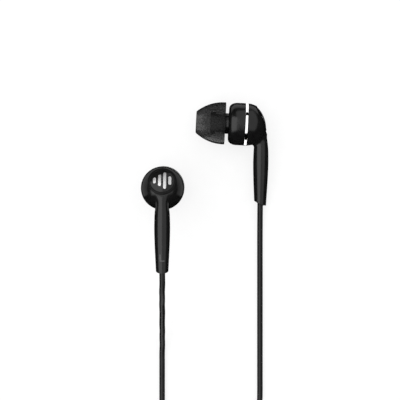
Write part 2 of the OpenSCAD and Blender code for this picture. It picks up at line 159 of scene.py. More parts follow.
RIGHT_LEAD_ROUTE = (
    (-4.8, -96, 2.8), (-1.4, -97.7, 2.8), (2.3, -99.2, 2.7), (5.9, -100.4, 2.6),
    (9.5, -101.1, 2.5), (12.7, -101.3, 2.3), (15.4, -100.7, 2.2), (17.7, -99.6, 2.1),
    (19.4, -97.5, 2.1),
)
MAIN_ROUTE = (
    (25, -84.7, 2.1), (25.5, -81.3, 2.2), (24.7, -78.1, 2.5), (22.6, -75.3, 2.9),
    (19.7, -72.9, 3.3), (16, -70.8, 3.8), (11.9, -69.3, 4.2), (7.6, -68.3, 4.5),
    (3.3, -67.8, 4.6),
)
PLUG_ROUTE = (
    (-14, -84.6, 6.6), (-14.5, -88, 6.4), (-15.2, -91.5, 6), (-15.5, -95, 5.4),
    (-15, -98.5, 4.8), (-13.7, -101.8, 4.2), (-11.6, -104.7, 3.7), (-8.6, -107.1, 3.4),
    (-4.6, -108, 3.3),
)

# Splitter and plug
SPLITTER_SIZE = (5.8, 14.0, 4.2)
SPLITTER_NOSE = 3.6
SPLITTER_TAPER = 5.0
SPLITTER_TURN = math.radians(-20)
GRIP_R = 3.3
GRIP_LENGTH = 15.0
RELIEF_LENGTH = 9.0
PIN_R = 1.75
PIN_CORE_R = 0.9
SHANK_R = 1.45
SHANK_LENGTH = 4.0
SLEEVE_END = 8.1
RING_SPAN = (8.8, 10.4)
TIP_START = 11.1
PIN_LENGTH = 14.0
GRIP_RIBS = 6
GRIP_RIB_PITCH = 1.1
RELIEF_RIBS = 5
RELIEF_RIB_PITCH = 1.5
GROOVE_DEPTH = 0.25


def node_centre(name):
    """Middle of a CAD node's box, in metres."""
    low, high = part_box(name)
    return (low + high) / 2


def earpiece_matrix(side):
    """From an earpiece's own frame in millimetres to the row's frame in metres."""
    mount = MOUNTS[f"{side}_ear"]
    nose = Vector(mount["pos_m"])
    out = -Vector(mount["axis"]).normalized()
    down = node_centre(f"{side}_cord_crimp") - nose
    up = -(down - down.dot(out) * out).normalized()
    right = up.cross(out)
    turn = Matrix((right, up, out)).transposed().to_4x4()
    return Matrix.Translation(nose) @ turn @ Matrix.Scale(MM, 4)


EARPIECE = {side: earpiece_matrix(side) for side in SIDES}
ON_CAP = (
    Matrix.Translation((0, 0, BALL_Z))
    @ Matrix.Rotation(-CAP_TILT, 4, "X")
    @ Matrix.Translation((0, 0, CAP_REACH))
)
ON_STEM = Matrix.Translation((0, 0, STEM_TOP_Z)) @ Matrix.Rotation(math.pi / 2 - STEM_LEAN, 4, "X")
ON_STEM_END = ON_STEM @ Matrix.Translation((0, 0, STEM_END)) @ Matrix.Rotation(STEM_SLANT, 4, "X")


# ---- materials

# Most values of a noise texture lie between these two.
NOISE_LOW = 0.3
NOISE_HIGH = 0.7


def grey(value):
    """A neutral colour."""
    return (value, value, value)


def node_tree(name):
    """A new material, and its node tree, Principled shader and object coordinates."""
    surface = bpy.data.materials.new(name)
    surface.use_nodes = True
    tree = surface.node_tree
    shader = tree.nodes["Principled BSDF"]
    coordinates = tree.nodes.new("ShaderNodeTexCoord")
    return surface, tree, shader, coordinates.outputs["Object"]


def noise(tree, coordinates, scale, detail=3.0, stretch=(1, 1, 1)):
    """Noise of that many features a metre, stretched along an axis."""
    mapping = tree.nodes.new("ShaderNodeMapping")
    mapping.inputs["Scale"].default_value = stretch
    texture = tree.nodes.new("ShaderNodeTexNoise")
    texture.inputs["Scale"].default_value = scale
    texture.inputs["Detail"].default_value = detail
    tree.links.new(coordinates, mapping.inputs["Vector"])
    tree.links.new(mapping.outputs["Vector"], texture.inputs["Vector"])
    return texture.outputs["Fac"]


def between(tree, factor, low, high):
    """A noise factor mapped to low..high."""
    mapped = tree.nodes.new("ShaderNodeMapRange")
    mapped.inputs["From Min"].default_value = NOISE_LOW
    mapped.inputs["From Max"].default_value = NOISE_HIGH
    mapped.inputs["To Min"].default_value = low
    mapped.inputs["To Max"].default_value = high
    tree.links.new(factor, mapped.inputs["Value"])
    return mapped.outputs["Result"]


def colours(tree, factor, dark, light):
    """A ramp from one colour to another along a noise factor."""
    ramp = tree.nodes.new("ShaderNodeValToRGB")
    ramp.color_ramp.elements[0].position = NOISE_LOW
    ramp.color_ramp.elements[0].color = (*dark, 1)
    ramp.color_ramp.elements[1].position = NOISE_HIGH
    ramp.color_ramp.elements[1].color = (*light, 1)
    tree.links.new(factor, ramp.inputs["Fac"])
    return ramp.outputs["Color"]


def bump(tree, shader, height, distance, strength=1.0):
    """Tilts the shader's normal as if the surface rose by height times distance, in metres."""
    relief = tree.nodes.new("ShaderNodeBump")
    relief.inputs["Strength"].default_value = strength
    relief.inputs["Distance"].default_value = distance
    tree.links.new(height, relief.inputs["Height"])
    tree.links.new(relief.outputs["Normal"], shader.inputs["Normal"])


def grained(name, dark, light, roughness, grain, depth, metallic=0.0, stretch=(1, 1, 1),
            specular=0.5):
    """Plastic, rubber or metal: mottled colour, uneven roughness and a fine grain."""
    surface, tree, shader, coordinates = node_tree(name)
    mottle = noise(tree, coordinates, 400, stretch=stretch)
    fine = noise(tree, coordinates, grain, detail=5.0, stretch=stretch)
    tree.links.new(colours(tree, mottle, dark, light), shader.inputs["Base Color"])
    tree.links.new(between(tree, mottle, *roughness), shader.inputs["Roughness"])
    shader.inputs["Metallic"].default_value = metallic
    shader.inputs["Specular IOR Level"].default_value = specular
    bump(tree, shader, fine, depth)
    return surface


def silicone(name, see_through, at_edge):
    """Translucent smoke-grey silicone. A wall lets a share of the light through when it is seen
    straight on, and another share at its edge."""
    surface, tree, shader, coordinates = node_tree(name)
    haze = noise(tree, coordinates, 300)
    fine = noise(tree, coordinates, 6000, detail=4.0)
    tree.links.new(colours(tree, haze, grey(0.003), grey(0.006)), shader.inputs["Base Color"])
    tree.links.new(between(tree, haze, 0.24, 0.3), shader.inputs["Roughness"])
    slant = tree.nodes.new("ShaderNodeLayerWeight")
    slant.inputs["Blend"].default_value = 0.5
    density = tree.nodes.new("ShaderNodeMapRange")
    density.inputs["From Min"].default_value = 0.45
    density.inputs["From Max"].default_value = 1.0
    density.inputs["To Min"].default_value = 1 - see_through
    density.inputs["To Max"].default_value = 1 - at_edge
    tree.links.new(slant.outputs["Facing"], density.inputs["Value"])
    tree.links.new(density.outputs["Result"], shader.inputs["Alpha"])
    shader.inputs["Specular IOR Level"].default_value = 0.12
    bump(tree, shader, fine, 0.0000004)
    return surface


def woven(name):
    """Woven strap: crossed threads in relief, with a little sheen."""
    surface, tree, shader, coordinates = node_tree(name)
    threads = []
    for direction in ("X", "Y"):
        wave = tree.nodes.new("ShaderNodeTexWave")
        wave.bands_direction = direction
        wave.inputs["Scale"].default_value = 500
        wave.inputs["Distortion"].default_value = 0.6
        tree.links.new(coordinates, wave.inputs["Vector"])
        threads.append(wave.outputs["Fac"])
    weave = tree.nodes.new("ShaderNodeMath")
    weave.operation = "MULTIPLY"
    tree.links.new(threads[0], weave.inputs[0])
    tree.links.new(threads[1], weave.inputs[1])
    cloth = colours(tree, weave.outputs["Value"], grey(0.008), grey(0.05))
    tree.links.new(cloth, shader.inputs["Base Color"])
    tree.links.new(between(tree, weave.outputs["Value"], 0.85, 0.7), shader.inputs["Roughness"])
    shader.inputs["Sheen Weight"].default_value = 0.3
    bump(tree, shader, weave.outputs["Value"], 0.0001)
    return surface


MATERIALS = {
    "tip_silicone": silicone("tip_silicone", 0.16, 0.02),
    "steel_mesh": grained(
        "steel_mesh", grey(0.5), grey(0.62), (0.28, 0.4), 9000, 0.000004, metallic=1.0),
    "shell_plastic": grained(
        "shell_plastic", grey(0.0035), grey(0.0055), (0.18, 0.24), 9000, 0.0000006),
    "chrome_trim": grained(
        "chrome_trim", grey(0.88), grey(0.94), (0.06, 0.12), 5000, 0.0000006, metallic=1.0),
    "bezel_plastic": grained(
        "bezel_plastic", grey(0.003), grey(0.005), (0.36, 0.46), 9000, 0.0000008, specular=0.16),
    "cap_gloss": grained(
        "cap_gloss", grey(0.004), grey(0.007), (0.14, 0.2), 9000, 0.0000006, specular=0.4),
    "steel_plate": grained(
        "steel_plate", grey(0.5), grey(0.6), (0.25, 0.4), 7000, 0.000003, metallic=1.0),
    "membrane_film": grained(
        "membrane_film", (0.42, 0.48, 0.55), (0.55, 0.6, 0.66), (0.25, 0.4), 6000, 0.000002),
    "copper_wire": grained(
        "copper_wire", (0.55, 0.24, 0.1), (0.75, 0.38, 0.2), (0.25, 0.35), 12000, 0.00001,
        metallic=1.0, stretch=(0.1, 0.1, 3)),
    "magnet": grained(
        "magnet", grey(0.2), grey(0.28), (0.25, 0.4), 8000, 0.000003, metallic=1.0),
    "driver_plastic": grained(
        "driver_plastic", grey(0.03), grey(0.05), (0.45, 0.6), 9000, 0.000003),
    "felt": grained("felt", grey(0.6), grey(0.82), (0.85, 1.0), 14000, 0.00006),
    "circuit_board": grained(
        "circuit_board", (0.012, 0.14, 0.05), (0.03, 0.22, 0.1), (0.3, 0.45), 5000, 0.000004),
    "wire_enamel": grained(
        "wire_enamel", (0.35, 0.05, 0.03), (0.5, 0.09, 0.06), (0.3, 0.4), 6000, 0.000003),
    "cord_jacket": grained(
        "cord_jacket", grey(0.004), grey(0.007), (0.24, 0.3), 5000, 0.000003, specular=0.32),
    "brass_crimp": grained(
        "brass_crimp", (0.6, 0.42, 0.16), (0.78, 0.58, 0.26), (0.25, 0.4), 7000, 0.000004,
        metallic=1.0),
    "grommet_rubber": grained(
        "grommet_rubber", grey(0.004), grey(0.008), (0.5, 0.65), 7000, 0.000006),
    "moulded_rubber": grained(
        "moulded_rubber", grey(0.008), grey(0.016), (0.42, 0.55), 6000, 0.000008),
    "core_plastic": grained(
        "core_plastic", (0.6, 0.57, 0.48), (0.72, 0.69, 0.6), (0.4, 0.55), 5000, 0.000004),
    "contact_gold": grained(
        "contact_gold", (0.78, 0.52, 0.18), (0.9, 0.65, 0.27), (0.12, 0.22), 7000, 0.000001,
        metallic=1.0),
    "insulator": grained("insulator", grey(0.01), grey(0.02), (0.35, 0.5), 7000, 0.000003),
    "tie_strap": woven("tie_strap"),
}
CLEAR_SILICONE = silicone("clear_silicone", 0.97, 0.8)
FOIL = grained("foil", grey(0.92), grey(0.97), (0.4, 0.5), 12000, 0.000003, metallic=1.0)
PRINT_GREY = grained("print_grey", grey(0.055), grey(0.07), (0.45, 0.6), 12000, 0.000001)


# ---- mesh helpers


def new_object(name, verts, faces, matrix, sharp=35):
    """A smooth-shaded mesh object. verts are in matrix's own frame, and edges past sharp degrees
    stay crisp."""
    mesh = bpy.data.meshes.new(name)
    mesh.from_pydata([matrix @ Vector(v) for v in verts], [], faces)
    made = bmesh.new()
    made.from_mesh(mesh)
    bmesh.ops.recalc_face_normals(made, faces=made.faces)
    made.to_mesh(mesh)
    made.free()
    mesh.shade_smooth()
    mesh.set_sharp_from_angle(angle=math.radians(sharp))
    thing = bpy.data.objects.new(name, mesh)
    bpy.context.scene.collection.objects.link(thing)
    return thing


def finish_piece(thing, body, slot, *nodes, surface=None):
    """Gives a piece its material and its body, and hides the CAD nodes that it stands for."""
    thing.data.materials.clear()
    thing.data.materials.append(surface or MATERIALS[slot])
    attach(thing, body)
    if nodes:
        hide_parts(*nodes)
    return thing


def rounded(outline, steps=5):
    """A closed outline of (x, y, corner radius) with its corners turned into arcs."""
    points = []
    for index, (x, y, radius) in enumerate(outline):
        corner = Vector((x, y))
        if not radius:
            points.append((x, y))
            continue
        before = (Vector(outline[index - 1][:2]) - corner).normalized()
        after = (Vector(outline[(index + 1) % len(outline)][:2]) - corner).normalized()
        half = before.angle(after) / 2
        centre = corner + (before + after).normalized() * radius / math.sin(half)
        start = corner + before * radius / math.tan(half) - centre
        end = corner + after * radius / math.tan(half) - centre
        for step in range(steps + 1):
            points.append(tuple(centre + radius * start.slerp(end, step / steps).normalized()))
    return points


def lathe(outline, sides=128):
    """Vertices and faces of a closed outline of (radius, height) turned about Z."""
    verts = []
    rings = []
    for radius, height in outline:
        count = sides if radius > 1e-6 else 1
        rings.append([len(verts) + k for k in range(count)])
        for k in range(count):
            turn = 2 * math.pi * k / sides
            verts.append((radius * math.cos(turn), radius * math.sin(turn), height))
    faces = []
    for index, ring in enumerate(rings):
        after = rings[(index + 1) % len(rings)]
        if len(ring) == 1 and len(after) == 1:
            continue
        for k in range(sides):
            j = (k + 1) % sides
            corners = [ring[k % len(ring)], ring[j % len(ring)]]
            corners += [after[j % len(after)], after[k % len(after)]]
            faces.append(tuple(dict.fromkeys(corners)))
    return verts, faces


def joined(parts):
    """Several lists of vertices and faces as one."""
    verts = []
    faces = []
    for more_verts, more_faces in parts:
        faces += [tuple(len(verts) + k for k in face) for face in more_faces]
        verts += more_verts
    return verts, faces


def turned(name, outline, matrix, sides=128):
    """An object turned about the matrix's Z axis."""
    return new_object(name, *lathe(outline, sides), matrix)


def smooth_path(points, step):
    """Points about step apart on a smooth curve through points."""
    path = np.array(points, float)
    padded = np.vstack([2 * path[0] - path[1], path, 2 * path[-1] - path[-2]])
    made = []
    for a, b, c, d in zip(padded, padded[1:], padded[2:], padded[3:]):
        count = max(2, math.ceil(np.linalg.norm(c - b) / step))
        for t in np.arange(count) / count:
            made.append(0.5 * (2 * b + (c - a) * t + (2 * a - 5 * b + 4 * c - d) * t**2
                               + (3 * b - a - 3 * c + d) * t**3))
    made.append(path[-1])
    return [tuple(point) for point in made]


# ---- camera

CAMERA_AT = (-1.58, -3.84, 350.0)
camera_data = bpy.data.cameras.new("camera")
camera_data.lens = 109
camera_data.sensor_width = 36
camera_data.clip_start = 0.01
camera = bpy.data.objects.new("camera", camera_data)
camera.location = Vector(CAMERA_AT) * MM
bpy.context.scene.collection.objects.link(camera)
bpy.context.scene.camera = camera


# ---- cords

CORD_STEP = 0.6
TURN_POINTS = 24
PAIR_OUTER_R = 15.2
PAIR_TURNS = 2
PAIR_LAYERS = (1.2, 2.8)
PAIR_FIRST_ANGLE = 180
PAIR_RUN_OUT = 40
LEFT_JOIN_ANGLE = 184
RIGHT_JOIN_ANGLE = 96
MAIN_OUTER_R = 16.2
MAIN_TURNS = 5
MAIN_LAYERS = (4.6, 6.6)
MAIN_FIRST_ANGLE = 90
MAIN_RUN_OUT = 80
MAIN_JOIN_ANGLE = 98


def smooth_step(value):
    """A smooth step from 0 to 1."""
    value = min(1, max(0, value))
    return value * value * (3 - 2 * value)


def winding(start_angle, run_out, outer_r, pitch, turns, layers, first_angle):
    """Turns of a cord about the coil: inwards on the lower layer, then outwards on the upper one.
    The spiral starts at first_angle, and the cord joins it at start_angle. Angles in degrees."""
    points = []
    end_angle = first_angle + 2 * 360 * turns + run_out
    count = round((end_angle - start_angle) / 360 * TURN_POINTS)
    for k in range(count + 1):
        angle = start_angle + (end_angle - start_angle) * k / count
        turn = (angle - first_angle) / 360
        radius = outer_r - pitch * (turns - abs(min(turn, 2 * turns) - turns))
        if turn > 2 * turns:
            radius = outer_r
        height = layers[0] + (layers[1] - layers[0]) * smooth_step(3 * (turn - turns) + 0.5)
        spot = math.radians(angle)
        points.append((
            COIL_AT[0] + radius * math.cos(spot), COIL_AT[1] + radius * math.sin(spot), height))
    return points


def cord_curve(name, points, diameter):
    """A cord as a curve of one open spline through points, in millimetres."""
    curve = bpy.data.curves.new(name, "CURVE")
    curve.dimensions = "3D"
    curve.bevel_depth = diameter * MM / 2
    curve.bevel_resolution = 6
    curve.use_fill_caps = True
    spline = curve.splines.new("POLY")
    path = smooth_path(points, CORD_STEP)
    spline.points.add(len(path) - 1)
    for point, place in zip(spline.points, path):
        point.co = (*(Vector(place) * MM), 1)
    spline.use_smooth = True
    thing = bpy.data.objects.new(name, curve)
    bpy.context.scene.collection.objects.link(thing)
    return thing


def inside_stem(side):
    """Points of a cord's sheath from inside the stem to just before its mouth, in millimetres."""
    matrix = EARPIECE[side] @ ON_STEM
    drops = (SHEATH_START, SHEATH_START + 2, SHEATH_START + 4)
    return [tuple(matrix @ Vector((0, 0, drop)) / MM) for drop in drops]


def pair_turns(start_angle, outer_r):
    """Stored turns of one of the two thin cords, which lie side by side."""
    return winding(
        start_angle, PAIR_RUN_OUT, outer_r, 2 * CORD_D, PAIR_TURNS, PAIR_LAYERS, PAIR_FIRST_ANGLE)


left_points = (
    inside_stem("left") + list(LEFT_ROUTE) + pair_turns(LEFT_JOIN_ANGLE, PAIR_OUTER_R)
    + list(LEFT_LEAD_ROUTE))
right_points = (
    inside_stem("right") + list(RIGHT_ROUTE)
    + pair_turns(RIGHT_JOIN_ANGLE, PAIR_OUTER_R - CORD_D)
    + list(RIGHT_LEAD_ROUTE))
main_points = (
    list(MAIN_ROUTE)
    + winding(
        MAIN_JOIN_ANGLE, MAIN_RUN_OUT, MAIN_OUTER_R, MAIN_D, MAIN_TURNS, MAIN_LAYERS,
        MAIN_FIRST_ANGLE)
    + list(PLUG_ROUTE))

left_cable = cord_curve("left_cable", left_points, CORD_D)
finish_piece(
    left_cable, "headset", "cord_jacket", "left_cord", "left_splitter_lead", "left_cord_end")
right_cable = cord_curve("right_cable", right_points, CORD_D)
finish_piece(
    right_cable, "headset", "cord_jacket", "right_cord", "right_splitter_lead", "right_cord_end")
main_cable = cord_curve("main_cable", main_points, MAIN_D)
finish_piece(main_cable, "headset", "cord_jacket", "main_cord", "plug_cord", "cord_coil")


# ---- splitter, plug and tie


def build_splitter():
    """Moulded splitter with rounded edges."""
    width, length, height = SPLITTER_SIZE
    half = length / 2
    outline = rounded([
        (-width / 2, -half, 1.2), (width / 2, -half, 1.2),
        (width / 2, half - SPLITTER_TAPER, 2.5), (SPLITTER_NOSE / 2, half, 0.8),
        (-SPLITTER_NOSE / 2, half, 0.8), (-width / 2, half - SPLITTER_TAPER, 2.5),
    ], 6)
    edge = 0.9
    steps = 8
    levels = []
    for step in range(steps + 1):
        lean = math.pi * step / steps
        rise = -math.cos(lean) * edge
        level = rise + math.copysign(height / 2 - edge, rise) if step != steps / 2 else 0
        levels.append((level, edge * (1 - math.sin(lean))))
    verts = []
    for level, inset in levels:
        for x, y in outline:
            verts.append((x * (1 - 2 * inset / width), y * (1 - 2 * inset / length), level))
    count = len(outline)
    faces = [tuple(range(count)), tuple(range(steps * count, (steps + 1) * count))]
    for level in range(steps):
        for k in range(count):
            j = (k + 1) % count
            faces.append((
                level * count + k, level * count + j, (level + 1) * count + j,
                (level + 1) * count + k))
    place = node_centre("splitter_core")
    matrix = (
        Matrix.Translation(place) @ Matrix.Rotation(SPLITTER_TURN, 4, "Z") @ Matrix.Scale(MM, 4))
    shell = new_object("splitter_shell", verts, faces, matrix)
    return finish_piece(shell, "headset", "moulded_rubber", "splitter_body")


def build_plug():
    """The plug's ribbed grip and relief, and the contacts and spacers of its pin."""
    grip_low, grip_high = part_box("plug_grip")
    pin_base = Vector((grip_high.x, (grip_low.y + grip_high.y) / 2, (grip_low.z + grip_high.z) / 2))
    matrix = Matrix.Translation(pin_base) @ Matrix.Rotation(math.pi / 2, 4, "Y")
    matrix = matrix @ Matrix.Scale(MM, 4)

    grip = [(PIN_CORE_R, -6, 0), (PIN_CORE_R, -GRIP_LENGTH, 0), (GRIP_R - 1, -GRIP_LENGTH, 0.3)]
    grip += [(GRIP_R - 0.25, -GRIP_LENGTH + 1.5, 1.0), (GRIP_R, -GRIP_LENGTH + 4, 2.0)]
    for rib in range(GRIP_RIBS):
        at = -GRIP_LENGTH + 5 + rib * GRIP_RIB_PITCH
        grip += [(GRIP_R, at, 0.1), (GRIP_R - GROOVE_DEPTH, at + 0.15, 0.1)]
        grip += [(GRIP_R - GROOVE_DEPTH, at + 0.45, 0.1), (GRIP_R, at + 0.6, 0.1)]
    grip += [(GRIP_R, -2.5, 1.5), (GRIP_R - 0.3, -0.8, 0.6), (GRIP_R - 0.9, 0, 0.25)]
    grip += [(SHANK_R, 0, 0), (SHANK_R, -SHANK_LENGTH, 0), (PIN_CORE_R, -SHANK_LENGTH, 0)]
    handle = turned("plug_handle", rounded(grip), matrix)

    start = -GRIP_LENGTH - RELIEF_LENGTH
    relief = [(MAIN_D / 2, -GRIP_LENGTH, 0), (MAIN_D / 2, start, 0), (1.35, start, 0.15)]
    for rib in range(RELIEF_RIBS):
        at = start + 1 + rib * RELIEF_RIB_PITCH
        outer = 1.4 + 0.08 * rib
        relief += [(outer, at, 0.1), (outer - GROOVE_DEPTH, at + 0.2, 0.1)]
        relief += [(outer - 0.22, at + 0.6, 0.1), (outer + 0.04, at + 0.8, 0.1)]
    relief += [(1.9, -GRIP_LENGTH, 0)]
    bend = turned("plug_bend_relief", rounded(relief), matrix, 96)

    tip = rounded([
        (0, TIP_START, 0), (PIN_R, TIP_START, 0.08), (PIN_R, TIP_START + 0.5, 0.15),
        (1.3, TIP_START + 1.2, 0.25), (1.62, TIP_START + 1.9, 0.3), (1.3, PIN_LENGTH - 0.4, 0.3),
        (0.7, PIN_LENGTH, 0.3), (0, PIN_LENGTH, 0)])
    contact = turned("pin_end_contact", tip, matrix)

    sleeve = rounded([
        (PIN_CORE_R, -SHANK_LENGTH, 0), (SHANK_R, -SHANK_LENGTH, 0), (SHANK_R, 0, 0),
        (PIN_R, 0, 0.06), (PIN_R, SLEEVE_END, 0.06), (PIN_CORE_R, SLEEVE_END, 0)])
    long_contact = turned("pin_sleeve_contact", sleeve, matrix)

    middle = rounded([
        (PIN_CORE_R, RING_SPAN[0], 0), (PIN_R, RING_SPAN[0], 0.06), (PIN_R, RING_SPAN[1], 0.06),
        (PIN_CORE_R, RING_SPAN[1], 0)])
    ring_contact = turned("pin_ring_contact", middle, matrix)

    outer = PIN_R - 0.03
    rings = [
        lathe([(PIN_CORE_R, low), (outer, low), (outer, high), (PIN_CORE_R, high)])
        for low, high in ((SLEEVE_END, RING_SPAN[0]), (RING_SPAN[1], TIP_START))]
    spacers = new_object("pin_spacers", *joined(rings), matrix)

    finish_piece(handle, "headset", "moulded_rubber", "plug_grip")
    finish_piece(bend, "headset", "moulded_rubber", "plug_relief")
    finish_piece(contact, "headset", "contact_gold", "plug_tip")
    finish_piece(long_contact, "headset", "contact_gold", "plug_sleeve")
    finish_piece(ring_contact, "headset", "contact_gold", "plug_ring")
    finish_piece(spacers, "headset", "insulator", "plug_insulators")
    return [handle, bend, contact, long_contact, ring_contact, spacers]


def build_tie():
    """Woven strap closed around the coil, its free end lying on top."""
    low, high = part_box("coil_tie")
    centre = (low + high) / 2 / MM
    height = (high.z - low.z) / MM
    half = 6.7
    thick = 0.4
    width = 4.0
    tail_span = (2 - half, 8 - half)
    tail_points = 7
    section = rounded([
        (-half, thick / 2, 1.2), (half, thick / 2, 1.2), (half, height - thick / 2, 1.2),
        (-half, height - thick / 2, 1.2)], 6)
    tail = [(x, height + thick / 2) for x in np.linspace(*tail_span, tail_points)]
    verts = []
    faces = []

    def strip(path, closed):
        """A flat band of that width and thickness along a path across the coil."""
        count = len(path)
        base = len(verts)
        for k, point in enumerate(path):
            before = Vector(path[k - 1] if closed or k else point)
            after = Vector(path[(k + 1) % count] if closed or k < count - 1 else point)
            along = (after - before).normalized()
            out = Vector((along.y, -along.x)) * thick / 2
            for side, push in ((-1, -1), (1, -1), (1, 1), (-1, 1)):
                spot = Vector(point) + push * out
                verts.append((spot.x, side * width / 2, spot.y))
        for k in range(count if closed else count - 1):
            j = (k + 1) % count
            for corner in range(4):
                near = (corner + 1) % 4
                faces.append((
                    base + 4 * k + corner, base + 4 * k + near, base + 4 * j + near,
                    base + 4 * j + corner))
        if not closed:
            faces.append(tuple(base + corner for corner in range(4)))
            faces.append(tuple(base + 4 * (count - 1) + corner for corner in range(4)))

    strip(section, True)
    strip(tail, False)
    turn = math.atan2(centre.y - COIL_AT[1], centre.x - COIL_AT[0])
    matrix = Matrix.Scale(MM, 4) @ Matrix.Translation((centre.x, centre.y, 0))
    matrix = matrix @ Matrix.Rotation(turn, 4, "Z")
    strap = new_object("strap_tie", verts, faces, matrix)
    return finish_piece(strap, "headset", "tie_strap", "coil_tie")


splitter = build_splitter()
plug = build_plug()
strap = build_tie()


# ---- earpieces


def tip_radius(height):
    swell = 1 - (1 - height / TIP_LENGTH) ** TIP_POWER
    return TIP_NOSE_R + (TIP_R - TIP_NOSE_R) * swell


def tip_outline():
    """Section of the ear tip: nose, domed skirt with a rounded rim, and the core tube inside."""
    steps = 28
    first = 0.35
    span = TIP_LENGTH - 0.55
    outer = [first + span * k / steps for k in range(steps + 1)]
    inner = [z for z in outer[::-1] if z > TIP_FOLD_Z + 0.6]
    rim_r = tip_radius(TIP_LENGTH)
    points = [(TIP_CHANNEL_R, 0.4, 0.2), (TIP_CHANNEL_R + 0.35, 0, 0.2)]
    points += [(TIP_NOSE_R - 0.05, 0, 0.3)]
    points += [(tip_radius(z), z, 0) for z in outer]
    points += [(rim_r, TIP_LENGTH, 0.2), (rim_r - TIP_WALL, TIP_LENGTH, 0.2)]
    points += [(tip_radius(z) - TIP_WALL, z, 0) for z in inner]
    points += [(TIP_CORE_R, TIP_FOLD_Z + 0.3, 0.2), (TIP_CORE_R, TIP_CORE_END, 0.2)]
    points += [(TIP_BORE_R, TIP_CORE_END, 0.2), (TIP_BORE_R, NOZZLE_FRONT - 0.1, 0)]
    points += [(TIP_CHANNEL_R, NOZZLE_FRONT - 0.1, 0)]
    return rounded(points)


def front_outline():
    """Section of the front shell: nozzle with lip, neck and collar, and the round front half."""
    steps = 20
    points = [
        (SCREEN_R, NOZZLE_FRONT, 0.08), (LIP_R, NOZZLE_FRONT, 0.35), (LIP_R, LIP_END, 0.15),
        (NECK_R, LIP_END, 0.1), (NECK_R, NECK_END, 0.12), (COLLAR_R, NECK_END, 0.12),
        (COLLAR_R, FACE_Z, 0.1)]
    for k in range(steps + 1):
        turn = math.pi / 2 * k / steps
        points.append((
            CORNER_IN_R + (HEAD_R - CORNER_IN_R) * math.sin(turn),
            CORNER_END_Z - (CORNER_END_Z - FACE_Z) * math.cos(turn), 0))
    points += [
        (HEAD_R, RING_Z, 0.06), (SPIGOT_R, RING_Z, 0), (SPIGOT_R, SPIGOT_END, 0.1),
        (CHAMBER_R, SPIGOT_END, 0.1), (CHAMBER_R, DRIVER_SEAT_Z, 0),
        (DRIVER_SEAT_R, DRIVER_SEAT_Z, 0.1), (CHANNEL_R + FUNNEL_FLARE, FUNNEL_Z, 0.3),
        (CHANNEL_R, FUNNEL_Z - FUNNEL_LENGTH, 0.3), (CHANNEL_R, SCREEN_SEAT, 0),
        (SCREEN_R, SCREEN_SEAT, 0)]
    return rounded(points)


def dome_height(radius):
    """Height of the cap's dome above its seat."""
    return math.sqrt(DOME_R**2 - radius**2) - math.sqrt(DOME_R**2 - CAP_RIM_R**2)


def bezel_outline():
    """Section of the bezel: a low rounded bead around the disc, with its collar below."""
    steps = 12
    edge = DISC_R + BEZEL_GAP
    rim = CAP_RIM_R - BEZEL_GAP
    points = [
        (BEZEL_LEDGE_R, -BEZEL_DEPTH), (BEZEL_WALL_R, -BEZEL_DEPTH), (BEZEL_WALL_R, 0),
        (CAP_RIM_R, 0)]
    for k in range(steps + 1):
        radius = rim + (edge - rim) * k / steps
        bead = 0.02 + BEAD_RISE * math.sin(math.pi * k / steps)
        points.append((radius, dome_height(radius) + bead))
    points += [(edge, -DISC_THICK), (BEZEL_LEDGE_R, -DISC_THICK)]
    return points


def disc_outline():
    """Section of the domed disc in the bezel."""
    steps = 24
    points = [(0, -DISC_THICK, 0), (DISC_R, -DISC_THICK, 0), (DISC_R, dome_height(DISC_R), 0.08)]
    points += [
        (DISC_R * (1 - k / steps), dome_height(DISC_R * (1 - k / steps)), 0)
        for k in range(1, steps + 1)]
    return rounded(points)


def patch(spots, columns, place, lift, sink):
    """A thin raised patch. spots is a grid of flat (u, v) points, columns wide, and place puts a
    flat point at a height above a curved surface."""
    rows = len(spots) // columns
    verts = [place(u, v, lift) for u, v in spots] + [place(u, v, -sink) for u, v in spots]
    lower = len(spots)
    faces = []
    for row in range(rows - 1):
        for column in range(columns - 1):
            a = row * columns + column
            b = a + columns
            faces.append((a, a + 1, b + 1, b))
            faces.append((lower + a, lower + b, lower + b + 1, lower + a + 1))
    border = [*range(columns), *range(2 * columns - 1, rows * columns, columns)]
    border += [*range(rows * columns - 2, (rows - 1) * columns - 1, -1)]
    border += [*range((rows - 2) * columns, 0, -columns)]
    for a, b in zip(border, border[1:] + border[:1]):
        faces.append((a, b, lower + b, lower + a))
    return verts, faces


def stroke(path, width):
    """Grid of flat points, three wide, along a path, with square ends."""
    spots = []
    for k, point in enumerate(path):
        here = Vector(point)
        before = (here - Vector(path[k - 1])).normalized() if k else None
        after = (Vector(path[k + 1]) - here).normalized() if k < len(path) - 1 else None
        before = before or after
        after = after or before
        across = Vector((-(before + after).y, (before + after).x)).normalized()
        reach = width / 2 / max(0.5, across.dot(Vector((-before.y, before.x))))
        for push in (-1, 0, 1):
            spots.append(tuple(here + push * reach * across))
    return spots


def cap_mark():
    """Generic mark on the disc: four level bars of different heights."""
    bars = ((-2.1, 1.7), (-0.7, 3.4), (0.7, 4.9), (2.1, 2.5))
    width = 0.8
    end_width = 0.08
    columns = 5
    rows = 22

    def place(u, v, height):
        return (u, v, dome_height(math.hypot(u, v)) + height)

    parts = []
    for x, tall in bars:
        spots = []
        for row in range(rows + 1):
            v = (tall / 2) * math.cos(math.pi * (1 - row / rows))
            end = max(0, abs(v) - (tall / 2 - width / 2))
            half = math.sqrt(max((end_width / 2) ** 2, (width / 2) ** 2 - end**2))
            spots += [(x + half * (2 * k / (columns - 1) - 1), v) for k in range(columns)]
        parts.append(patch(spots, columns, place, PRINT_LIFT, PRINT_SINK))
    return joined(parts)


def stem_radius(drop):
    """Radius of the stem at a distance below the housing's axis."""
    return float(np.interp(drop, SMOOTH_STEM[:, 0], SMOOTH_STEM[:, 1]))


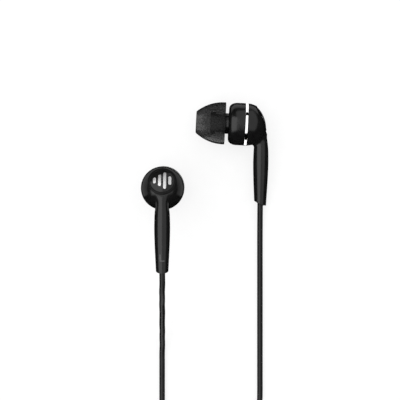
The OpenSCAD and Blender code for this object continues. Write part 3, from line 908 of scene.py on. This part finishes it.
SMOOTH_STEM = np.array(smooth_path([(*point, 0) for point in STEM_PROFILE], 0.2))
SMOOTH_STEM = SMOOTH_STEM[np.argsort(SMOOTH_STEM[:, 0])]

LETTER_STROKE = 0.27
LETTER_DROP = 18.9
BOWL = [
    (0.12 + 0.46 * math.sin(math.pi * k / 12), 0.36 + 0.46 * math.cos(math.pi * k / 12))
    for k in range(13)]
LETTERS = {
    "left": ([(-0.53, 0.98), (-0.53, -0.83), (0.68, -0.83)],),
    "right": (
        [(-0.53, -0.98), (-0.53, 0.82), *BOWL, (-0.38, -0.1)],
        [(0.05, -0.25), (0.56, -0.98)],
    ),
}


def stepped(path, step=0.1):
    """A path of straight stretches with a point about every step."""
    points = []
    for a, b in zip(path, path[1:]):
        count = math.ceil(math.dist(a, b) / step)
        points += [tuple(Vector(a).lerp(Vector(b), k / count)) for k in range(count)]
    return points + [path[-1]]


def side_letter(side):
    """Side letter, printed on the outer face of the stem near its end."""
    def place(u, v, height):
        drop = LETTER_DROP - v
        radius = stem_radius(drop)
        turn = u / radius
        return ((radius + height) * math.sin(turn), (radius + height) * math.cos(turn), drop)

    return joined([
        patch(stroke(stepped(path), LETTER_STROKE), 3, place, PRINT_LIFT, PRINT_SINK)
        for path in LETTERS[side]])


def build_grommet(side):
    """The grommet in the stem's mouth: square to the stem inside, slanted like its end outside."""
    bore = CORD_D / 2 - 0.01
    face_z = STEM_END + GROMMET_PROUD
    verts, faces = lathe(rounded([
        (bore, GROMMET_TOP, 0), (GROMMET_R - 0.07, GROMMET_TOP, 0.1),
        (GROMMET_R, STEM_END - 0.5, 0), (GROMMET_R, STEM_END + 0.1, 0.08),
        (GROMMET_FACE_R, face_z, 0.1), (bore, face_z, 0.05)]), 64)
    slanted = []
    for x, y, drop in verts:
        share = (drop - GROMMET_TOP) / (STEM_END - GROMMET_TOP)
        slanted.append((x, y, drop + share * y * math.tan(STEM_SLANT)))
    grommet = new_object(f"{side}_mouth_grommet", slanted, faces, EARPIECE[side] @ ON_STEM)
    finish_piece(grommet, "headset", "grommet_rubber", f"{side}_cord_grommet")


# ---- rear shell

MOULD_MARGIN = 0.05
MOULD_VOXEL = 0.16
ON_SURFACE = 0.003


def shell_field(points):
    """Distance to the rear shell's outer surface: a ball that flows smoothly into the stem."""
    ball = np.linalg.norm(points - (0, 0, BALL_Z), axis=1) - HEAD_R
    down = np.array((0, -math.cos(STEM_LEAN), math.sin(STEM_LEAN)))
    across = points - (0, 0, STEM_TOP_Z)
    drop = across @ down
    radius = np.interp(drop, SMOOTH_STEM[:, 0], SMOOTH_STEM[:, 1])
    side = np.linalg.norm(across - drop[:, None] * down, axis=1) - radius
    stem = np.maximum(side, STEM_PROFILE[0][0] - drop)
    near = np.maximum(STEM_BLEND - np.abs(ball - stem), 0) / STEM_BLEND
    return np.minimum(ball, stem) - near**2 * STEM_BLEND / 4


def field_slope(points):
    """Direction and rate in which shell_field grows at each point."""
    nudge = 0.01
    return np.stack([
        (shell_field(points + step) - shell_field(points - step)) / (2 * nudge)
        for step in np.eye(3) * nudge], axis=1)


def settle(points, rounds=6):
    """Moves points onto the surface where shell_field is zero."""
    for _ in range(rounds):
        slope = field_slope(points)
        size = np.maximum((slope**2).sum(axis=1), 0.2)
        points = points - (shell_field(points) / size)[:, None] * slope
    return points


def coordinates_of(mesh):
    """Every vertex of a mesh as a row of an array."""
    flat = np.empty(3 * len(mesh.vertices))
    mesh.vertices.foreach_get("co", flat)
    return flat.reshape(-1, 3)


def shade_outside(mesh):
    """Takes the shading normals of the outer surface from shell_field, whatever its triangles."""
    points = coordinates_of(mesh)
    outside = np.abs(shell_field(points)) < ON_SURFACE
    slope = field_slope(points)
    slope /= np.linalg.norm(slope, axis=1)[:, None]
    normals = [tuple(corner.vector) for corner in mesh.corner_normals]
    for face in mesh.polygons:
        corners = list(face.vertices)
        if outside[corners].all() and slope[corners].mean(axis=0) @ np.array(face.normal) > 0.8:
            for corner in face.loop_indices:
                normals[corner] = tuple(slope[mesh.loops[corner].vertex_index])
    mesh.normals_split_custom_set(normals)


def apply_modifiers(thing):
    """Replaces an object's mesh with its evaluated one."""
    evaluated = thing.evaluated_get(bpy.context.evaluated_depsgraph_get())
    mesh = bpy.data.meshes.new_from_object(evaluated)
    thing.modifiers.clear()
    thing.data = mesh


def cut(thing, tools):
    """Cuts each tool away from thing, and deletes the tools."""
    for tool in tools:
        boolean = thing.modifiers.new("cut", "BOOLEAN")
        boolean.operation = "DIFFERENCE"
        boolean.solver = "EXACT"
        boolean.object = tool
        apply_modifiers(thing)
        bpy.data.objects.remove(tool)


def slab(matrix, size=40):
    """Box that fills everything on the matrix's +Z side."""
    half = size / 2
    corners = [(x, y, z) for z in (0, size) for y in (-half, half) for x in (-half, half)]
    faces = [(0, 1, 3, 2), (4, 5, 7, 6), (0, 1, 5, 4), (2, 3, 7, 6), (0, 2, 6, 4), (1, 3, 7, 5)]
    return new_object("slab", corners, faces, matrix)


def rear_shell_mesh():
    """The rear shell in an earpiece's own frame, in millimetres."""
    ball_steps = 24
    ball = [
        ((HEAD_R + MOULD_MARGIN) * math.sin(math.pi * k / ball_steps),
         BALL_Z + (HEAD_R + MOULD_MARGIN) * math.cos(math.pi * k / ball_steps))
        for k in range(ball_steps + 1)]
    ball = [(r if r > 1e-6 else 0, z) for r, z in ball]
    stem = [(0, STEM_PROFILE[0][0])] + [(r, drop) for drop, r in STEM_PROFILE]
    stem.append((0, STEM_PROFILE[-1][0]))
    stem_verts, stem_faces = lathe(stem, 48)
    stem_verts = [tuple(ON_STEM @ Vector(v)) for v in stem_verts]
    shell = new_object(
        "shell_mould", *joined([lathe(ball, 64), (stem_verts, stem_faces)]), Matrix())
    remesh = shell.modifiers.new("remesh", "REMESH")
    remesh.mode = "VOXEL"
    remesh.voxel_size = MOULD_VOXEL
    relax = shell.modifiers.new("relax", "SMOOTH")
    relax.factor = 0.5
    relax.iterations = 10
    apply_modifiers(shell)
    settled = settle(coordinates_of(shell.data))
    shell.data.vertices.foreach_set("co", settled.ravel())
    shell.data.update()

    room_steps = 24
    room = [
        (CHAMBER_R * math.sin(math.pi * k / room_steps),
         BALL_Z + CHAMBER_R * math.cos(math.pi * k / room_steps))
        for k in range(room_steps + 1)]
    room = [(r if r > 1e-6 else 0, z) for r, z in room]
    chamber = new_object("chamber", *lathe(room, 96), Matrix())
    cut(chamber, [slab(ON_CAP @ Matrix.Translation((0, 0, -BEZEL_DEPTH)))])
    spigot_start = RING_BACK - 1
    spigot = [
        (0, spigot_start), (SPIGOT_R, spigot_start), (SPIGOT_R, SPIGOT_END), (0, SPIGOT_END)]
    seat = [(0, -BEZEL_DEPTH), (BEZEL_WALL_R, -BEZEL_DEPTH), (BEZEL_WALL_R, 3), (0, 3)]
    bore = [
        (0, 0), (STEM_BORE_R, 0), (STEM_BORE_R, BORE_STOP), (CORD_D / 2, BORE_STOP),
        (CORD_D / 2, GROMMET_TOP), (STEM_BORE_R, GROMMET_TOP), (STEM_BORE_R, 26), (0, 26)]
    flip = Matrix.Translation((0, 0, RING_BACK)) @ Matrix.Rotation(math.pi, 4, "X")
    cut(shell, [
        slab(flip),
        slab(ON_CAP),
        slab(ON_STEM_END),
        chamber,
        new_object("spigot", *lathe(spigot, 128), Matrix()),
        new_object("seat", *lathe(seat, 128), ON_CAP),
        new_object("bore", *lathe(bore, 64), ON_STEM),
    ])
    mesh = shell.data
    bpy.data.objects.remove(shell)
    mesh.shade_smooth()
    mesh.set_sharp_from_angle(angle=math.radians(32))
    shade_outside(mesh)
    return mesh


rear_mesh = rear_shell_mesh()


def build_earpiece(side):
    """Every visible piece of one earpiece, in place on its bodies."""
    here = EARPIECE[side]
    tip = turned(f"{side}_silicone_tip", tip_outline(), here, 160)
    finish_piece(tip, f"{side}_tip", "tip_silicone", f"{side}_ear_tip")
    tip.data.materials.append(CLEAR_SILICONE)
    # A real tip is one silicone. Its inner faces are clearer here, or the layers add up to black.
    to_local = here.inverted()
    for face in tip.data.polygons:
        middle = to_local @ face.center
        outside = tip_radius(min(middle.z, TIP_LENGTH)) - TIP_WALL / 2
        if middle.z > 0.3 and math.hypot(middle.x, middle.y) < outside:
            face.material_index = 1
    front = turned(f"{side}_front_housing", front_outline(), here, 192)
    finish_piece(front, "headset", "shell_plastic", f"{side}_front_shell")
    band = rounded([
        (SPIGOT_R, RING_Z, 0), (RING_R, RING_Z, 0.1), (RING_R, RING_BACK, 0.1),
        (SPIGOT_R, RING_BACK, 0)])
    ring = turned(f"{side}_chrome_band", band, here, 192)
    finish_piece(ring, "headset", "chrome_trim", f"{side}_trim_ring")

    rear_copy = rear_mesh.copy()
    rear_copy.transform(here)
    rear = bpy.data.objects.new(f"{side}_rear_housing", rear_copy)
    bpy.context.scene.collection.objects.link(rear)
    finish_piece(rear, "headset", "shell_plastic", f"{side}_rear_shell")

    bezel = turned(f"{side}_bezel_ring", bezel_outline(), here @ ON_CAP)
    finish_piece(bezel, "headset", "bezel_plastic", f"{side}_cap_bezel")
    disc = turned(f"{side}_domed_disc", disc_outline(), here @ ON_CAP)
    finish_piece(disc, "headset", "cap_gloss", f"{side}_cap_disc")
    mark = new_object(f"{side}_level_mark", *cap_mark(), here @ ON_CAP)
    finish_piece(mark, "headset", "cap_gloss", surface=FOIL)
    letter = new_object(f"{side}_side_letter", *side_letter(side), here @ ON_STEM)
    finish_piece(letter, "headset", "shell_plastic", surface=PRINT_GREY)
    build_grommet(side)


for side in SIDES:
    build_earpiece(side)


# ---- carried-over CAD nodes

NODE_SLOTS = {
    "nozzle_screen": "steel_mesh", "driver_cover": "steel_plate", "diaphragm": "membrane_film",
    "surround": "membrane_film", "voice_coil": "copper_wire", "top_plate": "steel_plate",
    "magnet": "magnet", "yoke": "steel_plate", "driver_frame": "driver_plastic",
    "damping_felt": "felt", "terminal_board": "circuit_board", "lead_wires": "wire_enamel",
    "cord_crimp": "brass_crimp",
}


def dress_node(name, slot):
    """Gives a CAD node that stays its procedural material."""
    mesh = NODES[name].data
    mesh.materials.clear()
    mesh.materials.append(MATERIALS[slot])


for side in SIDES:
    for piece, slot in NODE_SLOTS.items():
        dress_node(f"{side}_{piece}", slot)
dress_node("splitter_core", "core_plastic")
dress_node("plug_core", "brass_crimp")


# ---- table and light

TABLE_GLOW = 0.76
WALL_AZIMUTHS = (-5, 33, 71, 109, 147, 185)
BAND_WALL_AZIMUTHS = (223, 270, 317)
WALL_R = 12
WALL_WIDTH = 8.3
WALL_HEIGHT = 10
WALL_Z = 13.5
WALL_RADIANCE = 0.36
SOFTBOX_DISTANCE = 0.6
TABLE_HALF = 3.0
TABLE_DROP = 0.00002


def build_table():
    """White light-table top."""
    half = TABLE_HALF
    spots = ((-half, -half), (half, -half), (half, half), (-half, half))
    corners = [(x, y, -TABLE_DROP) for x, y in spots]
    table = new_object("table_top", corners, [(0, 1, 2, 3)], Matrix())
    surface, tree, shader, coordinates = node_tree("table_white")
    mottle = noise(tree, coordinates, 300)
    tree.links.new(colours(tree, mottle, grey(0.15), grey(0.16)), shader.inputs["Base Color"])
    shader.inputs["Roughness"].default_value = 0.9
    shader.inputs["Emission Color"].default_value = (1, 1, 1, 1)
    shader.inputs["Emission Strength"].default_value = TABLE_GLOW
    table.data.materials.append(surface)
    table.visible_glossy = False


def area_light(name, matrix, size, radiance, pieces=(), rule="INCLUDE"):
    """Rectangular soft light in the matrix's XY plane that shines along its -Z. If pieces are
    named, it shines on those only, or on all but those if the rule is EXCLUDE."""
    lamp = bpy.data.lights.new(name, "AREA")
    lamp.shape = "RECTANGLE"
    lamp.size, lamp.size_y = size
    lamp.energy = radiance * math.pi * lamp.size * lamp.size_y
    light = bpy.data.objects.new(name, lamp)
    light.matrix_world = matrix
    light.visible_camera = False
    bpy.context.scene.collection.objects.link(light)
    if pieces:
        linked = bpy.data.collections.new(f"linked_to_{name}")
        for piece in pieces:
            linked.objects.link(bpy.data.objects[piece])
        for link in linked.collection_objects:
            link.light_linking.link_state = rule
        light.light_linking.receiver_collection = linked


def softbox(name, across, along, radiance, pieces=(), rule="INCLUDE"):
    """Soft light that fills a range of directions, in degrees from straight up: across to the
    right, and along to the top of the view."""
    distance = SOFTBOX_DISTANCE
    matrix = (
        Matrix.Rotation(math.radians(sum(across) / 2), 4, "Y")
        @ Matrix.Rotation(-math.radians(sum(along) / 2), 4, "X")
        @ Matrix.Translation((0, 0, distance)))
    size = [
        2 * distance * math.tan(math.radians(span[1] - span[0]) / 2) for span in (across, along)]
    area_light(name, matrix, size, radiance, pieces, rule)


def build_light():
    """A bright soft light on the left, a dimmer one on the right, and an even white room that
    glossy surfaces don't mirror. The rest aren't lights that a real room could have: each shines
    on the pieces it names and on nothing else, to give one reflection. The two soft lights leave
    out the right chrome band, and the wall of cards serves the left band and rear housing."""
    band = ["right_chrome_band"]
    tip = ["right_silicone_tip"]
    softbox("bright_softbox", (-64, -1), (-39, 37), 1.6, band, "EXCLUDE")
    softbox("dim_softbox", (-1, 64), (-33, 74), 0.67, band, "EXCLUDE")
    softbox("rim_strip", (-50, 50), (94, 127), 0.6, ["right_front_housing", "right_rear_housing"])
    softbox("band_card_over", (-45, 45), (-51, 47), 1.5, band)
    softbox("band_card_back", (-45, 45), (66, 122), 1.5, band)
    softbox("band_card_under", (-45, 45), (122, 174), 1.5, band)
    softbox("band_card_front", (-45, 45), (-160, -97), 1.5, band)
    softbox("nose_card", (-110, -60), (-42, 42), 6.0, tip)
    softbox("skirt_card", (-60, 20), (-130, -74), 3.3, tip)
    softbox("cord_card", (-64, -1), (-110, -39), 1.6, ["left_cable"])
    middle = (EARPIECE["left"] @ Vector((0, 0, BALL_Z))).to_2d()
    for azimuth in WALL_AZIMUTHS + BAND_WALL_AZIMUTHS:
        pieces = ["left_chrome_band"]
        if azimuth in WALL_AZIMUTHS:
            pieces.append("left_rear_housing")
        matrix = (
            Matrix.Translation((*middle, WALL_Z * MM))
            @ Matrix.Rotation(math.radians(azimuth + 90), 4, "Z")
            @ Matrix.Rotation(math.pi / 2, 4, "X")
            @ Matrix.Translation((0, 0, WALL_R * MM)))
        area_light(
            f"wall_card_{azimuth}", matrix, (WALL_WIDTH * MM, WALL_HEIGHT * MM), WALL_RADIANCE,
            pieces)
    world = bpy.data.worlds.new("room")
    world.use_nodes = True
    world.node_tree.nodes["Background"].inputs["Color"].default_value = (1, 1, 1, 1)
    world.node_tree.nodes["Background"].inputs["Strength"].default_value = 1.0
    bpy.context.scene.world = world
    world.cycles_visibility.glossy = False
    bpy.context.scene.view_settings.view_transform = "Standard"


build_table()
build_light()
